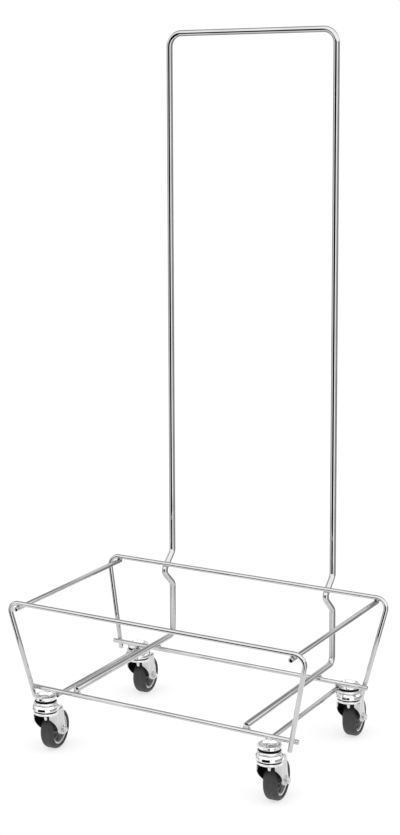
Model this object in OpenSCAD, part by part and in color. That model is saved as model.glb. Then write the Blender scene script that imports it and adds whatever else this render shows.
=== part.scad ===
// Laundry sorter on wheels: a welded rod basket frame with a tall hanging hoop behind it,
// on four swivel casters.
// Front is -Y, the hoop is at the back (+Y), Z = 0 is the floor. All sizes are in millimetres.

/* [Rod frame] */
// Rod diameter of the basket frame
rod_d = 9.5; // [8:0.5:11]
// Rod diameter of the hanging hoop
hoop_d = 12.7; // [11:0.1:14]
// Rim length, corner to corner on rod centres
rim_l = 661; // [640:1:700]
// Rim depth, front rod to rear rod on centres
rim_w = 388; // [370:1:410]
// Height of the front and rear rim rods
rim_z = 308; // [290:1:330]
// Bend radius at the rim corners, on the rod centre
rim_bend = 20; // [14:1:30]
// Half the distance between left and right legs where they cross the lower rails
leg_x = 289.5; // [270:0.5:300]
// Height of the bottom ends of the legs
leg_end_z = 109; // [108:1:115]
// Half the length of the two lower rails
rail_half = 300; // [296:1:310]
// Distance of each lower rail from the middle, front or back
rail_y = 161.4; // [160:0.1:163]
// Distance of the two bars under the lower rails from the middle, left or right
bar_x = 236.6; // [232:0.1:237]
// Distance of the rim's end rods from the middle
end_rod_x = 303.5; // [295:0.5:306]
// How far the end rods stand out in front of the front rim rod
end_rod_front = 12.7; // [6:0.1:16]

/* [Hanging hoop] */
// Overall height of the hoop above the floor
total_h = 1450; // [1200:1:1600]
// Width of the hoop on rod centres
hoop_w = 381; // [340:1:420]
// Distance of the hoop's plane behind the rear rim rod, on centres
hoop_back = 38; // [34:1:42]
// Bend radius at the hanging bar's corners
hoop_bend = 28; // [22:1:40]
// Bend radius where the uprights turn into the feet
foot_bend = 16; // [12:1:24]
// Angle of the kink's two slopes from the upright
kink_angle = 48; // [44:1:52]
// How far the kink's tip lies below the rim rod
kink_drop = 17; // [12:1:18]
// Bend radius at the kink's three bends
kink_bend = 14; // [12:1:15]

/* [Casters] */
// Distance of each caster's swivel axis from the middle, left or right
caster_x = 250.5; // [250:0.1:255]
// Distance of each caster's swivel axis from the middle, front or back
caster_y = 182.3; // [182:0.1:183]
// Rest angle of the casters about their swivel axes
caster_yaw = 5.5; // [-20:0.5:20]
// Trail: the axle's distance behind the swivel axis
trail = 37.5; // [34:0.5:40]
// Wheel diameter over the tyre
wheel_d = 80; // [78:0.5:82]
// Tyre width
tyre_w = 30.3; // [28:0.1:31]
// Radius of the tyre's rounded shoulders
tyre_round = 9; // [5:0.5:10]
// Radius of the dished mounting cup
cup_r = 22.75; // [22.5:0.05:24]
// Largest radius of the bulging lower race
race_r = 27.5; // [26:0.1:28]
// Number of bearing balls in each caster
ball_count = 14; // [10:1:18]

/* [Hidden] */
$fn = 48;

rod_r = rod_d / 2;
hoop_r = hoop_d / 2;
// Cold bending swells the rod a little; each straight runs this far into its bends.
bend_swell = 0.1;
bend_lap = 1;
wheel_r = wheel_d / 2;

// Lower rails rest on the cups, with the caster bars under them; the hoop's feet rest on the lower rails.
cup_top = 122.25;
rail_z = cup_top + rod_r;
bar_z = rail_z - rod_d;
foot_z = rail_z + rod_r + hoop_r;

// Legs stand outside the lower rails, touching them.
leg_y = rail_y + rod_d;
rim_y = rim_w / 2;
hoop_y = rim_y + hoop_back;
hoop_z = total_h - hoop_r;

// The kink's rounded tip just touches the rear rim rod.
tip_reach = kink_bend + rod_r + hoop_r + bend_swell / 2;
kink_y = rim_y + sqrt(tip_reach * tip_reach - kink_drop * kink_drop) - kink_bend / cos(kink_angle);
kink_z = rim_z - kink_drop;
kink_h = (hoop_y - kink_y) / tan(kink_angle);

// Caster heights, from the fork crown up to the cup.
crown_z0 = cup_top - 36.25;
crown_z1 = crown_z0 + 4.5;
groove_z = crown_z1 + 2;
lower_z1 = groove_z + 12.7;
upper_z0 = lower_z1 + 0.4;
seal_z0 = upper_z0 + 5.3;
cup_z0 = seal_z0 + 2.8;
cup_floor = cup_z0 + 1.2;

king_r = 5;
bore_gap = 0.05;
ball_d = 4.8;
ball_ring_r = 17;
ball_z = (lower_z1 + upper_z0) / 2;

fork_in = 17.3;
fork_t = 2.6;
fork_out = fork_in + fork_t;
crown_r = 25;
shoulder_t = 38;
shoulder_z = 92;
stud_z = 69.3;
axle_end_r = 10.5;
axle_r = 4;
sleeve_r = 6.5;
hex_r = 7.5;

rim_ring_in = 27.9;
rim_ring_out = 30.3;
tyre_in = 29.8;
core_half = 10.4;
ring_half = 11.8;

// Depth range at rest, used to put the origin under the middle of the whole cart.
yaw_c = cos(caster_yaw);
yaw_s = abs(sin(caster_yaw));
wheel_back = caster_y + trail * yaw_c + (wheel_r - tyre_round) * yaw_c
    + (tyre_w / 2 - tyre_round) * yaw_s + tyre_round;
race_front = caster_y + race_r;
y_mid = (wheel_back - race_front) / 2;

// ---- Bent rods ----

function unit(v) = v / norm(v);

// Angle that a rod turns through at corner b of the path a, b, c.
function turn(a, b, c) = acos(unit(b - a) * unit(c - b));

// Length of straight that a bend of radius r takes from each side of its corner.
function setback(a, b, c, r) = r * tan(turn(a, b, c) / 2);

// Matrix that carries the Z axis onto the line from p towards q.
function along(p, q) =
    let (w = unit(q - p),
         u = unit(cross(abs(w.z) < 0.9 ? [0, 0, 1] : [1, 0, 0], w)),
         v = cross(w, u))
    [[u.x, v.x, w.x, p.x], [u.y, v.y, w.y, p.y], [u.z, v.z, w.z, p.z], [0, 0, 0, 1]];

module straight(p, q, d) {
    multmatrix(along(p, q)) cylinder(d = d, h = norm(q - p));
}

module bend(a, b, c, r, d) {
    w = unit(b - a);
    start = b - w * setback(a, b, c, r);
    n = unit(cross(w, c - b));
    centre = start + cross(n, w) * r;
    u = unit(start - centre);
    multmatrix([[u.x, w.x, n.x, centre.x], [u.y, w.y, n.y, centre.y],
                [u.z, w.z, n.z, centre.z], [0, 0, 0, 1]])
        rotate_extrude(angle = turn(a, b, c)) translate([r, 0]) circle(d = d);
}

// A rod along the points of path, with a bend of radius radii[i] at each inner point.
module bent_rod(path, radii, d) {
    last = len(path) - 1;
    cut = [for (i = [0 : last])
        (i == 0 || i == last) ? 0 : setback(path[i - 1], path[i], path[i + 1], radii[i])];
    for (i = [0 : last - 1]) {
        w = unit(path[i + 1] - path[i]);
        into_first = i == 0 ? 0 : bend_lap;
        into_next = i == last - 1 ? 0 : bend_lap;
        straight(path[i] + w * (cut[i] - into_first), path[i + 1] - w * (cut[i + 1] - into_next), d);
    }
    for (i = [1 : last - 1])
        bend(path[i - 1], path[i], path[i + 1], radii[i], d + bend_swell);
}

// Puts a part drawn about the basket's middle into the cart's own frame.
module in_cart() {
    translate([0, -y_mid, 0]) children();
}

// ---- Rod frame ----

module hanger_hoop() {
    x = hoop_w / 2;
    right = [
        [x, -rail_y, foot_z],
        [x, hoop_y, foot_z],
        [x, hoop_y, kink_z - kink_h],
        [x, kink_y, kink_z],
        [x, hoop_y, kink_z + kink_h],
        [x, hoop_y, hoop_z]
    ];
    left = [for (i = [5 : -1 : 0]) [-right[i].x, right[i].y, right[i].z]];
    radii = [0, foot_bend, kink_bend, kink_bend, kink_bend, hoop_bend,
             hoop_bend, kink_bend, kink_bend, kink_bend, foot_bend, 0];
    color("silver") in_cart() bent_rod(concat(right, left), radii, hoop_d);
}

// Rim rod with its two legs; side is -1 at the front and 1 at the back.
module frame_rod(side) {
    fall = (rim_z - leg_end_z) / (rim_z - rail_z);
    foot_x = rim_l / 2 + (leg_x - rim_l / 2) * fall;
    foot_y = rim_y + (leg_y - rim_y) * fall;
    path = [
        [-foot_x, side * foot_y, leg_end_z],
        [-rim_l / 2, side * rim_y, rim_z],
        [rim_l / 2, side * rim_y, rim_z],
        [foot_x, side * foot_y, leg_end_z]
    ];
    color("silver") in_cart() bent_rod(path, [0, rim_bend, rim_bend, 0], rod_d);
}

module front_frame_rod() { frame_rod(-1); }
module rear_frame_rod() { frame_rod(1); }

// Rod under the rim that closes it at one end; side is -1 at the left and 1 at the right.
module end_rod(side) {
    z = rim_z - rod_d;
    color("silver") in_cart()
        straight([side * end_rod_x, -rim_y - end_rod_front, z], [side * end_rod_x, rim_y + rod_r, z], rod_d);
}

module left_end_rod() { end_rod(-1); }
module right_end_rod() { end_rod(1); }

module lower_rail(side) {
    color("silver") in_cart()
        straight([-rail_half, side * rail_y, rail_z], [rail_half, side * rail_y, rail_z], rod_d);
}

module front_lower_rail() { lower_rail(-1); }
module rear_lower_rail() { lower_rail(1); }

// Rod across the cart under the two lower rails, beside the casters.
module caster_bar(side) {
    color("silver") in_cart()
        straight([side * bar_x, -rail_y, bar_z], [side * bar_x, rail_y, bar_z], rod_d);
}

module left_caster_bar() { caster_bar(-1); }
module right_caster_bar() { caster_bar(1); }

// Beads of weld where the hoop's feet and the caster bars meet the lower rails, and beside each cup.
module weld_beads() {
    r = 2.6;
    color("gainsboro") in_cart() for (sx = [-1, 1]) {
        for (side = [-1, 1])
            translate([sx * (hoop_w / 2 + side * 4.6), -rail_y + 3.2, foot_z - hoop_r + 0.4]) sphere(r = r);
        for (sy = [-1, 1], side = [-1, 1]) {
            translate([sx * bar_x + side * 4.2, sy * (rail_y - 2.5), cup_top - 0.3]) sphere(r = r);
            translate([sx * caster_x + side * 9, sy * (rail_y + 2.5), cup_top + 0.4]) sphere(r = r);
        }
    }
}

// ---- Casters ----
// Order of the casters: front left, front right, rear left, rear right.

// Puts a part drawn about a swivel axis at caster i.
module at_caster(i) {
    sx = (i % 2 == 0) ? -1 : 1;
    sy = (i < 2) ? -1 : 1;
    translate([sx * caster_x, sy * caster_y - y_mid, 0]) rotate([0, 0, caster_yaw]) children();
}

// Puts a part turned about Z onto the axle, with its axis along the axle.
module on_axle() {
    translate([0, trail, wheel_r]) rotate([0, 90, 0]) children();
}

// Riveted king pin: domed head in the cup, shank, and the tapered stud under the crown.
module king_pin() {
    head_r = 9;
    head_h = 1.8;
    dome_r = (head_r * head_r + head_h * head_h) / (2 * head_h);
    translate([0, 0, stud_z]) cylinder(r1 = 3, r2 = 6.5, h = crown_z0 - 0.4 - stud_z);
    translate([0, 0, crown_z0 - 0.8]) cylinder(r = king_r, h = cup_floor - crown_z0 + 0.8);
    intersection() {
        translate([0, 0, cup_floor + head_h - dome_r]) sphere(r = dome_r);
        translate([0, 0, cup_floor]) cylinder(r = head_r, h = head_h + 1);
    }
}

module king_pins() {
    color("silver") for (i = [0 : 3]) at_caster(i) king_pin();
}

// Dished pressing with a rolled rim, open at the top.
module cup() {
    color("silver") rotate_extrude() polygon([
        [king_r + 0.05, cup_z0], [cup_r - 4.5, cup_z0], [cup_r - 0.6, cup_z0 + 2.6], [cup_r, cup_z0 + 4],
        [cup_r, cup_top - 1.2], [cup_r - 0.5, cup_top - 0.3], [cup_r - 1.2, cup_top], [cup_r - 2.6, cup_top],
        [cup_r - 3.2, cup_top - 0.5], [cup_r - 4.6, cup_floor + 4], [cup_r - 6.6, cup_floor + 2],
        [cup_r - 9.5, cup_floor + 0.6], [cup_r - 12.5, cup_floor], [king_r + 0.05, cup_floor]
    ]);
}

module seal() {
    color("black") translate([0, 0, seal_z0]) difference() {
        cylinder(r = cup_r - 1.2, h = cup_z0 - seal_z0);
        translate([0, 0, -1]) cylinder(r = king_r + 0.05, h = 6);
    }
}

// Upper race, fixed with the cup, with the ball groove in its underside.
module upper_race() {
    color("silver") difference() {
        rotate_extrude() polygon([
            [king_r + 0.05, upper_z0], [22.4, upper_z0], [23.6, upper_z0 + 1], [24, upper_z0 + 2.4],
            [23.4, seal_z0 - 0.9], [22, seal_z0], [king_r + 0.05, seal_z0]
        ]);
        rotate_extrude() translate([ball_ring_r, ball_z]) circle(r = ball_d / 2 + 0.3);
    }
}

module balls() {
    color("gray") for (k = [0 : ball_count - 1])
        rotate([0, 0, k * 360 / ball_count]) translate([ball_ring_r, 0, ball_z]) sphere(d = ball_d, $fn = 24);
}

// Bulging lower race on the fork's crown, with a narrow neck below the bulge.
module lower_race() {
    color("silver") difference() {
        rotate_extrude() polygon([
            [12, crown_z1], [21.5, crown_z1], [21.5, groove_z], [24.6, groove_z], [26.4, groove_z + 1.4],
            [race_r - 0.3, groove_z + 3.4], [race_r, groove_z + 5.4], [race_r - 0.5, groove_z + 7.6],
            [race_r - 1.8, groove_z + 9.6], [race_r - 4, lower_z1 - 0.9], [21.5, lower_z1], [12, lower_z1]
        ]);
        rotate_extrude() translate([ball_ring_r, ball_z]) circle(r = ball_d / 2 + 0.05);
    }
}

// Point where the line from p touches a circle about c: its right side for side 1, its left for -1.
function tangent(p, c, r, side) =
    let (d = c - p,
         l = norm(d),
         a = atan2(d.y, d.x) + side * asin(r / l),
         t = sqrt(l * l - r * r))
    p + t * [cos(a), sin(a)];

// Side view of one fork leg: long slanting front edge, straight back edge, round end at the axle.
module leg_profile() {
    axle = [trail, wheel_r];
    back = [shoulder_t, shoulder_z - 3];
    toe = [trail - 15.5, wheel_r - 4.5];
    polygon([[-crown_r, crown_z0 - 0.8], [-crown_r, crown_z1], [20, crown_z1], [20, shoulder_z],
             [shoulder_t - 3, shoulder_z], back, tangent(back, axle, axle_end_r, 1), axle,
             tangent(toe, axle, axle_end_r, -1), toe, [-19.5, crown_z0 - 2]]);
    translate([shoulder_t - 3, shoulder_z - 3]) circle(r = 3);
    translate(axle) circle(r = axle_end_r);
}

// Plan of the fork's walls: round under the crown, then straight back along the legs.
module wall_plan() {
    difference() {
        union() {
            circle(r = crown_r);
            translate([-fork_out, 0]) square([2 * fork_out, trail + 30]);
        }
        circle(r = crown_r - fork_t);
        translate([-fork_in, 0]) square([2 * fork_in, trail + 31]);
    }
}

module fork_leg(side) {
    intersection() {
        translate([side > 0 ? 0 : -crown_r - 1, 0, 0]) rotate([90, 0, 90])
            linear_extrude(crown_r + 1) leg_profile();
        linear_extrude(200) wall_plan();
    }
}

// Fork: crown plate, square rear shoulder and two legs, in one pressing.
module fork() {
    color("silver") difference() {
        union() {
            translate([0, 0, crown_z0]) linear_extrude(crown_z1 - crown_z0) union() {
                circle(r = crown_r);
                translate([-fork_out, 0]) square([2 * fork_out, shoulder_t]);
            }
            translate([-fork_out, 0, 0]) rotate([90, 0, 90]) linear_extrude(2 * fork_out) union() {
                translate([20, crown_z0]) square([shoulder_t - 20, shoulder_z - 3 - crown_z0]);
                translate([20, crown_z0]) square([shoulder_t - 23, shoulder_z - crown_z0]);
                translate([shoulder_t - 3, shoulder_z - 3]) circle(r = 3);
            }
            fork_leg(-1);
            fork_leg(1);
        }
        translate([0, 0, crown_z1]) cylinder(r = race_r + 0.1, h = 20);
        translate([0, 0, crown_z0 - 5]) cylinder(r = king_r + bore_gap, h = 12);
        translate([-30, trail, wheel_r]) rotate([0, 90, 0]) cylinder(r = axle_r + 0.02, h = 60);
    }
}

module axle_bolt() {
    color("silver") on_axle() {
        translate([0, 0, -fork_out - 5]) cylinder(r = hex_r, h = 5, $fn = 6);
        translate([0, 0, -fork_out - 1]) cylinder(r = axle_r, h = 2 * fork_out + 9);
    }
}

module axle_nut() {
    color("silver") on_axle() translate([0, 0, fork_out]) difference() {
        cylinder(r = hex_r, h = 6.2, $fn = 6);
        translate([0, 0, -1]) cylinder(r = axle_r + 0.02, h = 9);
    }
}

module sleeve() {
    color("gray") on_axle() translate([0, 0, -fork_in]) difference() {
        cylinder(r = sleeve_r, h = 2 * fork_in);
        translate([0, 0, -1]) cylinder(r = axle_r + 0.02, h = 2 * fork_in + 2);
    }
}

// Wheel core: hub boss, thin web and the rim that carries the tyre.
module wheel_core() {
    bore = sleeve_r + bore_gap;
    color("dimgray") on_axle() rotate_extrude() polygon([
        [bore, -16.2], [10.5, -16.2], [11.5, -15.2], [12.5, -7], [24, -5.5], [25.5, -core_half],
        [tyre_in, -core_half], [tyre_in, core_half], [25.5, core_half], [24, 5.5], [12.5, 7],
        [11.5, 15.2], [10.5, 16.2], [bore, 16.2]
    ]);
}

// Pale trim rings on the two side faces of the wheel.
module rim_rings() {
    color("lightgray") on_axle() for (side = [-1, 1])
        rotate([side > 0 ? 0 : 180, 0, 0]) translate([0, 0, core_half]) difference() {
            cylinder(r = rim_ring_out, h = ring_half - core_half);
            translate([0, 0, -1]) cylinder(r = rim_ring_in, h = 4);
        }
}

module tyre() {
    half = tyre_w / 2;
    flat = half - tyre_round;
    side_r = wheel_r - tyre_round;
    color("#333436") on_axle() rotate_extrude() difference() {
        union() {
            translate([0, -flat]) square([wheel_r, 2 * flat]);
            translate([0, -half]) square([side_r, tyre_w]);
            for (side = [-1, 1]) translate([side_r, side * flat]) circle(r = tyre_round);
        }
        translate([-1, -half - 1]) square([tyre_in + 1, tyre_w + 2]);
        translate([-1, core_half]) square([rim_ring_out + 1, half]);
        translate([-1, -core_half - half]) square([rim_ring_out + 1, half]);
    }
}

// ---- The four casters' parts by name ----

module fl_cup() { at_caster(0) cup(); }
module fl_seal() { at_caster(0) seal(); }
module fl_upper_race() { at_caster(0) upper_race(); }
module fl_balls() { at_caster(0) balls(); }
module fl_lower_race() { at_caster(0) lower_race(); }
module fl_fork() { at_caster(0) fork(); }
module fl_axle_bolt() { at_caster(0) axle_bolt(); }
module fl_axle_nut() { at_caster(0) axle_nut(); }
module fl_sleeve() { at_caster(0) sleeve(); }
module fl_wheel_core() { at_caster(0) wheel_core(); }
module fl_rim_rings() { at_caster(0) rim_rings(); }
module fl_tyre() { at_caster(0) tyre(); }

module fr_cup() { at_caster(1) cup(); }
module fr_seal() { at_caster(1) seal(); }
module fr_upper_race() { at_caster(1) upper_race(); }
module fr_balls() { at_caster(1) balls(); }
module fr_lower_race() { at_caster(1) lower_race(); }
module fr_fork() { at_caster(1) fork(); }
module fr_axle_bolt() { at_caster(1) axle_bolt(); }
module fr_axle_nut() { at_caster(1) axle_nut(); }
module fr_sleeve() { at_caster(1) sleeve(); }
module fr_wheel_core() { at_caster(1) wheel_core(); }
module fr_rim_rings() { at_caster(1) rim_rings(); }
module fr_tyre() { at_caster(1) tyre(); }

module rl_cup() { at_caster(2) cup(); }
module rl_seal() { at_caster(2) seal(); }
module rl_upper_race() { at_caster(2) upper_race(); }
module rl_balls() { at_caster(2) balls(); }
module rl_lower_race() { at_caster(2) lower_race(); }
module rl_fork() { at_caster(2) fork(); }
module rl_axle_bolt() { at_caster(2) axle_bolt(); }
module rl_axle_nut() { at_caster(2) axle_nut(); }
module rl_sleeve() { at_caster(2) sleeve(); }
module rl_wheel_core() { at_caster(2) wheel_core(); }
module rl_rim_rings() { at_caster(2) rim_rings(); }
module rl_tyre() { at_caster(2) tyre(); }

module rr_cup() { at_caster(3) cup(); }
module rr_seal() { at_caster(3) seal(); }
module rr_upper_race() { at_caster(3) upper_race(); }
module rr_balls() { at_caster(3) balls(); }
module rr_lower_race() { at_caster(3) lower_race(); }
module rr_fork() { at_caster(3) fork(); }
module rr_axle_bolt() { at_caster(3) axle_bolt(); }
module rr_axle_nut() { at_caster(3) axle_nut(); }
module rr_sleeve() { at_caster(3) sleeve(); }
module rr_wheel_core() { at_caster(3) wheel_core(); }
module rr_rim_rings() { at_caster(3) rim_rings(); }
module rr_tyre() { at_caster(3) tyre(); }

hanger_hoop();
front_frame_rod();
rear_frame_rod();
left_end_rod();
right_end_rod();
front_lower_rail();
rear_lower_rail();
left_caster_bar();
right_caster_bar();
weld_beads();
king_pins();
fl_cup();
fl_seal();
fl_upper_race();
fl_balls();
fl_lower_race();
fl_fork();
fl_axle_bolt();
fl_axle_nut();
fl_sleeve();
fl_wheel_core();
fl_rim_rings();
fl_tyre();
fr_cup();
fr_seal();
fr_upper_race();
fr_balls();
fr_lower_race();
fr_fork();
fr_axle_bolt();
fr_axle_nut();
fr_sleeve();
fr_wheel_core();
fr_rim_rings();
fr_tyre();
rl_cup();
rl_seal();
rl_upper_race();
rl_balls();
rl_lower_race();
rl_fork();
rl_axle_bolt();
rl_axle_nut();
rl_sleeve();
rl_wheel_core();
rl_rim_rings();
rl_tyre();
rr_cup();
rr_seal();
rr_upper_race();
rr_balls();
rr_lower_race();
rr_fork();
rr_axle_bolt();
rr_axle_nut();
rr_sleeve();
rr_wheel_core();
rr_rim_rings();
rr_tyre();
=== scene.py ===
"""Laundry sorter on wheels: chromed rods, pressed casters and rubber tyres in a white studio."""
import math

import bmesh
import bpy
from mathutils import Matrix, Vector, noise

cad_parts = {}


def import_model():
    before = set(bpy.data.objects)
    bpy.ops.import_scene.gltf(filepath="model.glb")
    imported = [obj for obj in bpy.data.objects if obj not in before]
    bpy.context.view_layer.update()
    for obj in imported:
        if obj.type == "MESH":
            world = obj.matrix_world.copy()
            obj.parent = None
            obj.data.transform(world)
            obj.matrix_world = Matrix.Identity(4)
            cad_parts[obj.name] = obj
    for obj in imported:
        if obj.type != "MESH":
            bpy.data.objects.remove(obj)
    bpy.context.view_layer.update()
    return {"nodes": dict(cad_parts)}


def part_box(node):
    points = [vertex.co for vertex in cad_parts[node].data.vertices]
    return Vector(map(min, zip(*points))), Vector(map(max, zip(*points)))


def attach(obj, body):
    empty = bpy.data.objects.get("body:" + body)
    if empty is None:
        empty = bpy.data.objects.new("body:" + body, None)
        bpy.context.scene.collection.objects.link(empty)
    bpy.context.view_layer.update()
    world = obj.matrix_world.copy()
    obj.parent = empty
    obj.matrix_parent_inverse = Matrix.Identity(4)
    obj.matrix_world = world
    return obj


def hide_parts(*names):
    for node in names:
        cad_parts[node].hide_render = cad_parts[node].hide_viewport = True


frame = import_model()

# ---------------------------------------------------------------- sizes, in millimetres

MM = 0.001


def box(node):
    """Lowest and highest corner of a CAD node, in millimetres."""
    low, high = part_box(node)
    return low / MM, high / MM


def middle(node):
    low, high = box(node)
    return (low + high) / 2


FRONT_RAIL, REAR_RAIL = middle("front_lower_rail"), middle("rear_lower_rail")
MID_Y = (FRONT_RAIL.y + REAR_RAIL.y) / 2
RAIL_Y = (REAR_RAIL.y - FRONT_RAIL.y) / 2
RAIL_Z = FRONT_RAIL.z
RAIL_HALF = box("front_lower_rail")[1].x
CUP_TOP = box("fl_cup")[1].z
ROD_R = RAIL_Z - CUP_TOP
HOOP_R = 6.35
FOOT_Z = RAIL_Z + ROD_R + HOOP_R
CASTER_X = -middle("fl_cup").x
BAR_X, BAR_Z = 236.6, RAIL_Z - 2 * ROD_R

RIM_HALF, RIM_Y, RIM_Z, RIM_BEND = 330.5, 194.0, 308.0, 20.0
LEG_X, LEG_Y, LEG_END_Z = 289.5, RAIL_Y + 2 * ROD_R, 109.0
END_ROD_X, END_ROD_FRONT = 303.5, 12.7
HOOP_HALF, HOOP_Y, HOOP_Z, HOOP_BEND = 190.5, RIM_Y + 38, 1450 - HOOP_R, 28.0
FOOT_BEND, KINK_BEND, KINK_ANGLE, KINK_DROP = 16.0, 14.0, math.radians(48), 17.0

# Heights of the caster's parts, and the sizes that its pieces share.
CROWN_LOW = CUP_TOP - 36.25
CROWN_TOP = CROWN_LOW + 4.5
GROOVE_Z = CROWN_TOP + 2
LOWER_TOP = GROOVE_Z + 12.7
UPPER_LOW = LOWER_TOP + 0.4
SEAL_LOW = UPPER_LOW + 5.3
CUP_LOW = SEAL_LOW + 2.8
CUP_FLOOR = CUP_LOW + 1.2
CUP_R, RACE_R, KING_R = 22.75, 27.5, 5.0
FORK_IN, FORK_OUT, CROWN_R = 17.3, 19.9, 25.0
WALL_R = CROWN_R - (FORK_OUT - FORK_IN)
SHOULDER_BACK, SHOULDER_TOP, AXLE_END_R, STUD_LOW = 38.0, 92.0, 10.5, 69.3
WHEEL_R, TYRE_HALF, TYRE_ROUND, TYRE_IN = 40.0, 15.15, 9.0, 29.8
RING_IN, RING_OUT, CORE_HALF, RING_HALF = 27.9, 30.3, 10.4, 11.8
HEAD_R, DOT_R, DOT_PLACE, DOT_TURN = 8.9, 1.5, 6.3, math.radians(37)

# ---------------------------------------------------------------- shapes
# A shape is a list of points, the same points in the piece's own unbent space, and faces.


def shape(points, faces, own=None):
    return list(points), list(own or points), list(faces)


def polar(radius, angle):
    return Vector((math.cos(angle), math.sin(angle), 0)) * radius


def merged(*parts):
    points, own, faces = [], [], []
    for p, o, f in parts:
        faces += [tuple(i + len(points) for i in face) for face in f]
        points += p
        own += o
    return points, own, faces


def placed(part, matrix):
    points, own, faces = part
    return [matrix @ p for p in points], own, faces


def skin(rings, own_rings=None, loop=False):
    """Surface over rings of points; a ring is a full turn or a single point."""
    first, points = [], []
    for ring in rings:
        first.append(len(points))
        points += ring
    own = [p for ring in own_rings for p in ring] if own_rings else None
    pairs = list(zip(range(len(rings)), range(1, len(rings))))
    if loop:
        pairs.append((len(rings) - 1, 0))
    faces = []
    for a, b in pairs:
        na, nb = len(rings[a]), len(rings[b])
        for k in range(max(na, nb)):
            corners = [first[a] + k % na, first[a] + (k + 1) % na, first[b] + (k + 1) % nb, first[b] + k % nb]
            if na == 1:
                del corners[1]
            elif nb == 1:
                del corners[3]
            faces.append(tuple(corners))
    return shape(points, faces, own)


def arc_corner(a, b, c, radius, step):
    """Points and directions round the corner b, from the side of a to the side of c."""
    u, w = (b - a).normalized(), (c - b).normalized()
    turn = u.angle(w)
    start = b - u * radius * math.tan(turn / 2)
    inward = (w - u * u.dot(w)).normalized()
    centre = start + inward * radius
    steps = max(2, math.ceil(turn / step))
    angles = [turn * k / steps for k in range(steps + 1)]
    return [(centre + (u * math.sin(t) - inward * math.cos(t)) * radius,
             u * math.cos(t) + inward * math.sin(t)) for t in angles]


def bent_line(corners, radii, step=math.radians(5)):
    """Points and directions along a path with an arc at each inner corner."""
    line = [(corners[0], (corners[1] - corners[0]).normalized())]
    for a, b, c, radius in zip(corners, corners[1:], corners[2:], radii):
        line += arc_corner(a, b, c, radius, step)
    line.append((corners[-1], (corners[-1] - corners[-2]).normalized()))
    return line


def outline(corners, step=math.radians(12)):
    """Closed outline in a plane from (x, y, radius) corners."""
    flat = [Vector((x, y, 0)) for x, y, _ in corners]
    points = []
    for i, (_, _, radius) in enumerate(corners):
        a, b, c = flat[i - 1], flat[i], flat[(i + 1) % len(flat)]
        points += [p for p, _ in arc_corner(a, b, c, radius, step)] if radius else [b]
    return points


def profile(corners, step=math.radians(15)):
    """Closed (radius, height) outline for lathe()."""
    return [(p.x, p.y) for p in outline(corners, step)]


def rod(line, radius, around=32):
    """Round rod along bent_line's points, with eased ends; its own space is the rod before bending."""
    ease = [(0.0, 0.0), (0.0, radius - 1.1), (0.3, radius - 0.4), (1.1, radius)]
    (p0, t0), (p1, t1) = line[0], line[-1]
    stations = [(p0 + t0 * d, t0, r) for d, r in ease]
    stations += [(p, t, radius) for p, t in line[1:-1]]
    stations += [(p1 - t1 * d, t1, r) for d, r in reversed(ease)]
    side = t0.orthogonal().normalized()
    rings, own, along, last = [], [], 0.0, stations[0]
    for p, t, r in stations:
        side = last[1].rotation_difference(t) @ side
        along += (p - last[0]).length
        last = (p, t)
        up = t.cross(side)
        turns = [2 * math.pi * k / around for k in range(around)] if r else [0.0]
        rings.append([p + (side * math.cos(a) + up * math.sin(a)) * r for a in turns])
        own.append([Vector((math.cos(a) * radius, math.sin(a) * radius, along)) for a in turns])
    return skin(rings, own)


def lathe(points, around=72, loop=True):
    """Turns (radius, height) points about Z."""
    rings = []
    for r, z in points:
        turns = [2 * math.pi * k / around for k in range(around)] if r > 1e-6 else [0.0]
        rings.append([Vector((r * math.cos(a), r * math.sin(a), z)) for a in turns])
    return skin(rings, loop=loop)


def inset(points, amount):
    """Closed planar outline moved inwards by amount; the outline runs anticlockwise."""
    moved = []
    for i, b in enumerate(points):
        a, c = points[i - 1], points[(i + 1) % len(points)]
        u, w = (b - a).normalized(), (c - b).normalized()
        n1, n2 = Vector((-u.y, u.x, 0)), Vector((-w.y, w.x, 0))
        moved.append(b + (n1 + n2) * amount / max(0.5, 1 + n1.dot(n2)))
    return moved


def plate(points, low, high, edge, steps=3):
    """Flat plate on an anticlockwise outline, from low to high along Z, with rounded edges."""
    levels = []
    for k in range(steps + 1):
        t = math.pi / 2 * k / steps
        levels.append((edge * (1 - math.sin(t)), low + edge * (1 - math.cos(t))))
    levels += [(cut, low + high - z) for cut, z in reversed(levels)]
    rings = [[p + Vector((0, 0, z)) for p in inset(points, cut)] for cut, z in levels]
    co, own, faces = skin(rings)
    n = len(points)
    faces += [tuple(reversed(range(n))), tuple(range(len(co) - n, len(co)))]
    return co, own, faces


def bead(corners, radius, seed, ripple=0.12, pitch=1.1):
    """Short run of weld: a tapering ridge with ripples."""
    line = []
    for a, b in zip(corners, corners[1:]):
        count = max(2, math.ceil((b - a).length / 0.45))
        line += [a.lerp(b, k / count) for k in range(count)]
    line.append(corners[-1])
    total = len(line) - 1
    rings, along = [], 0.0
    for i, p in enumerate(line):
        t = (line[min(i + 1, total)] - line[max(i - 1, 0)]).normalized()
        along += (p - line[max(i - 1, 0)]).length
        side = t.orthogonal().normalized()
        up = t.cross(side)
        swell = math.sqrt(max(0.0, 1 - (2 * i / total - 1) ** 4))
        r = radius * swell * (1 - ripple * abs(math.sin(math.pi * along / pitch)))
        if i in (0, total):
            rings.append([p])
            continue
        ring = []
        for k in range(14):
            a = 2 * math.pi * k / 14
            way = side * math.cos(a) + up * math.sin(a)
            rough = noise.noise((p + way * radius) * 0.7 + Vector((seed, 0, 0)))
            ring.append(p + way * r * (1 + 0.12 * rough))
        rings.append(ring)
    return skin(rings)


# ---------------------------------------------------------------- materials


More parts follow.
